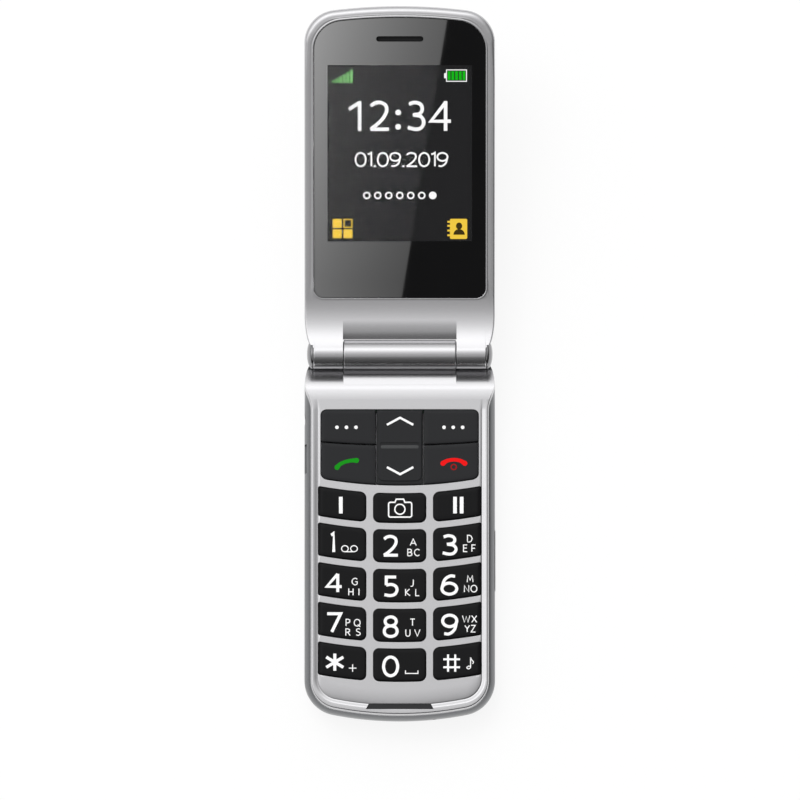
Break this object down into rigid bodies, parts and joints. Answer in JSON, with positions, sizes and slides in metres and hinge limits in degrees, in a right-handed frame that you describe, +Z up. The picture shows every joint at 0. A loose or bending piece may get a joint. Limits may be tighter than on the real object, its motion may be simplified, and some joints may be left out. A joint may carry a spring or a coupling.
{
  "type": "flip phone",
  "caption": "Clamshell mobile phone with large keys, lying open on its back, with a display lens in a hinged lid and a bowed keypad.",
  "frame": {"origin": "middle of the flat back, on the table, under the middle of the closed phone's footprint", "axes": "+Z up out of the keypad, +Y from the keypad half towards the lid's tip, +X to the right as the user sees the keypad"},
  "size_m": [0.0522, 0.1935, 0.0355],
  "materials": {
    "silver_paint": "metallic lacquer, satin gloss",
    "grey_paint": "metallic lacquer, a shade darker",
    "black_gloss": "gloss",
    "black_satin": "fine texture",
    "black_rubber": "matt",
    "lens": "polished",
    "display": "dark panel",
    "steel": "stamped",
    "circuit_board": "solder resist",
    "component": "moulded",
    "mesh": "woven",
    "camera_glass": "polished",
    "ribbon": "film",
    "battery": "wrapped",
    "mat_rubber": "silicone",
    "gold": "plated",
    "nav_key": "satin",
    "number_key": "satin"
  },
  "bodies": {
    "base": {"hinge_shaft": "steel", "hinge_tube": "steel", "hinge_ribbon": "ribbon", "front_housing": "silver_paint", "rear_housing": "grey_paint", "foot_insert": "black_rubber", "battery_cover": "black_satin", "battery": "battery", "main_board": "circuit_board", "dome_sheet": "steel", "keypad_mat": "mat_rubber", "loudspeaker": "component", "microphone": "component", "vibration_motor": "steel", "antenna": "component", "sim_holder": "steel", "battery_contacts": "gold", "usb_socket": "steel", "headset_jack": "component", "body_screws": "steel"},
    "lid": {"lid_inner_housing": "silver_paint", "lid_outer_cover": "black_gloss", "display_lens": "lens", "display_module": "display", "display_plate": "steel", "lid_board": "circuit_board", "earpiece_speaker": "component", "earpiece_mesh": "mesh", "camera_module": "component", "camera_window": "camera_glass", "lid_magnet": "steel", "lid_screws": "steel", "hinge_cartridge": "steel", "hinge_end_caps": "silver_paint"},
    "soft_key_left_body": {"soft_key_left": "nav_key"},
    "soft_key_right_body": {"soft_key_right": "nav_key"},
    "call_key_body": {"call_key": "nav_key"},
    "end_key_body": {"end_key": "nav_key"},
    "memory_key_1_body": {"memory_key_1": "number_key"},
    "camera_key_body": {"camera_key": "number_key"},
    "memory_key_2_body": {"memory_key_2": "number_key"},
    "key_1_body": {"key_1": "number_key"},
    "key_2_body": {"key_2": "number_key"},
    "key_3_body": {"key_3": "number_key"},
    "key_4_body": {"key_4": "number_key"},
    "key_5_body": {"key_5": "number_key"},
    "key_6_body": {"key_6": "number_key"},
    "key_7_body": {"key_7": "number_key"},
    "key_8_body": {"key_8": "number_key"},
    "key_9_body": {"key_9": "number_key"},
    "key_star_body": {"key_star": "number_key"},
    "key_0_body": {"key_0": "number_key"},
    "key_hash_body": {"key_hash": "number_key"},
    "nav_rocker_body": {"nav_rocker": "nav_key"},
    "volume_key_body": {"volume_key": "nav_key"}
  },
  "joints": [
    {"name": "lid_hinge", "type": "hinge", "parent": "base", "child": "lid", "pos_m": [0, 0.048, 0.0115], "axis": [1, 0, 0], "range_deg": [0, 165]},
    {"name": "soft_key_left_press", "type": "slide", "parent": "base", "child": "soft_key_left_body", "axis": [0, 0, -1], "range_m": [0, 0.00035], "stiffness_N_per_m": 400},
    {"name": "soft_key_right_press", "type": "slide", "parent": "base", "child": "soft_key_right_body", "axis": [0, 0, -1], "range_m": [0, 0.00035], "stiffness_N_per_m": 400},
    {"name": "call_key_press", "type": "slide", "parent": "base", "child": "call_key_body", "axis": [0, 0, -1], "range_m": [0, 0.00035], "stiffness_N_per_m": 400},
    {"name": "end_key_press", "type": "slide", "parent": "base", "child": "end_key_body", "axis": [0, 0, -1], "range_m": [0, 0.00035], "stiffness_N_per_m": 400},
    {"name": "memory_key_1_press", "type": "slide", "parent": "base", "child": "memory_key_1_body", "axis": [0, 0, -1], "range_m": [0, 0.00035], "stiffness_N_per_m": 400},
    {"name": "camera_key_press", "type": "slide", "parent": "base", "child": "camera_key_body", "axis": [0, 0, -1], "range_m": [0, 0.00035], "stiffness_N_per_m": 400},
    {"name": "memory_key_2_press", "type": "slide", "parent": "base", "child": "memory_key_2_body", "axis": [0, 0, -1], "range_m": [0, 0.00035], "stiffness_N_per_m": 400},
    {"name": "key_1_press", "type": "slide", "parent": "base", "child": "key_1_body", "axis": [0, 0, -1], "range_m": [0, 0.00035], "stiffness_N_per_m": 400},
    {"name": "key_2_press", "type": "slide", "parent": "base", "child": "key_2_body", "axis": [0, 0, -1], "range_m": [0, 0.00035], "stiffness_N_per_m": 400},
    {"name": "key_3_press", "type": "slide", "parent": "base", "child": "key_3_body", "axis": [0, 0, -1], "range_m": [0, 0.00035], "stiffness_N_per_m": 400},
    {"name": "key_4_press", "type": "slide", "parent": "base", "child": "key_4_body", "axis": [0, 0, -1], "range_m": [0, 0.00035], "stiffness_N_per_m": 400},
    {"name": "key_5_press", "type": "slide", "parent": "base", "child": "key_5_body", "axis": [0, 0, -1], "range_m": [0, 0.00035], "stiffness_N_per_m": 400},
    {"name": "key_6_press", "type": "slide", "parent": "base", "child": "key_6_body", "axis": [0, 0, -1], "range_m": [0, 0.00035], "stiffness_N_per_m": 400},
    {"name": "key_7_press", "type": "slide", "parent": "base", "child": "key_7_body", "axis": [0, 0, -1], "range_m": [0, 0.00035], "stiffness_N_per_m": 400},
    {"name": "key_8_press", "type": "slide", "parent": "base", "child": "key_8_body", "axis": [0, 0, -1], "range_m": [0, 0.00035], "stiffness_N_per_m": 400},
    {"name": "key_9_press", "type": "slide", "parent": "base", "child": "key_9_body", "axis": [0, 0, -1], "range_m": [0, 0.00035], "stiffness_N_per_m": 400},
    {"name": "key_star_press", "type": "slide", "parent": "base", "child": "key_star_body", "axis": [0, 0, -1], "range_m": [0, 0.00035], "stiffness_N_per_m": 400},
    {"name": "key_0_press", "type": "slide", "parent": "base", "child": "key_0_body", "axis": [0, 0, -1], "range_m": [0, 0.00035], "stiffness_N_per_m": 400},
    {"name": "key_hash_press", "type": "slide", "parent": "base", "child": "key_hash_body", "axis": [0, 0, -1], "range_m": [0, 0.00035], "stiffness_N_per_m": 400},
    {"name": "nav_rocker_tip", "type": "hinge", "parent": "base", "child": "nav_rocker_body", "pos_m": [0, 0.0224, 0.0092], "axis": [1, 0, 0], "range_deg": [-1.8, 1.8], "stiffness_Nm_per_rad": 0.05},
    {"name": "volume_key_tip", "type": "hinge", "parent": "base", "child": "volume_key_body", "pos_m": [0.0234, -0.008, 0.0046], "axis": [0, 0, 1], "range_deg": [-1.5, 1.5], "stiffness_Nm_per_rad": 0.05}
  ]
}
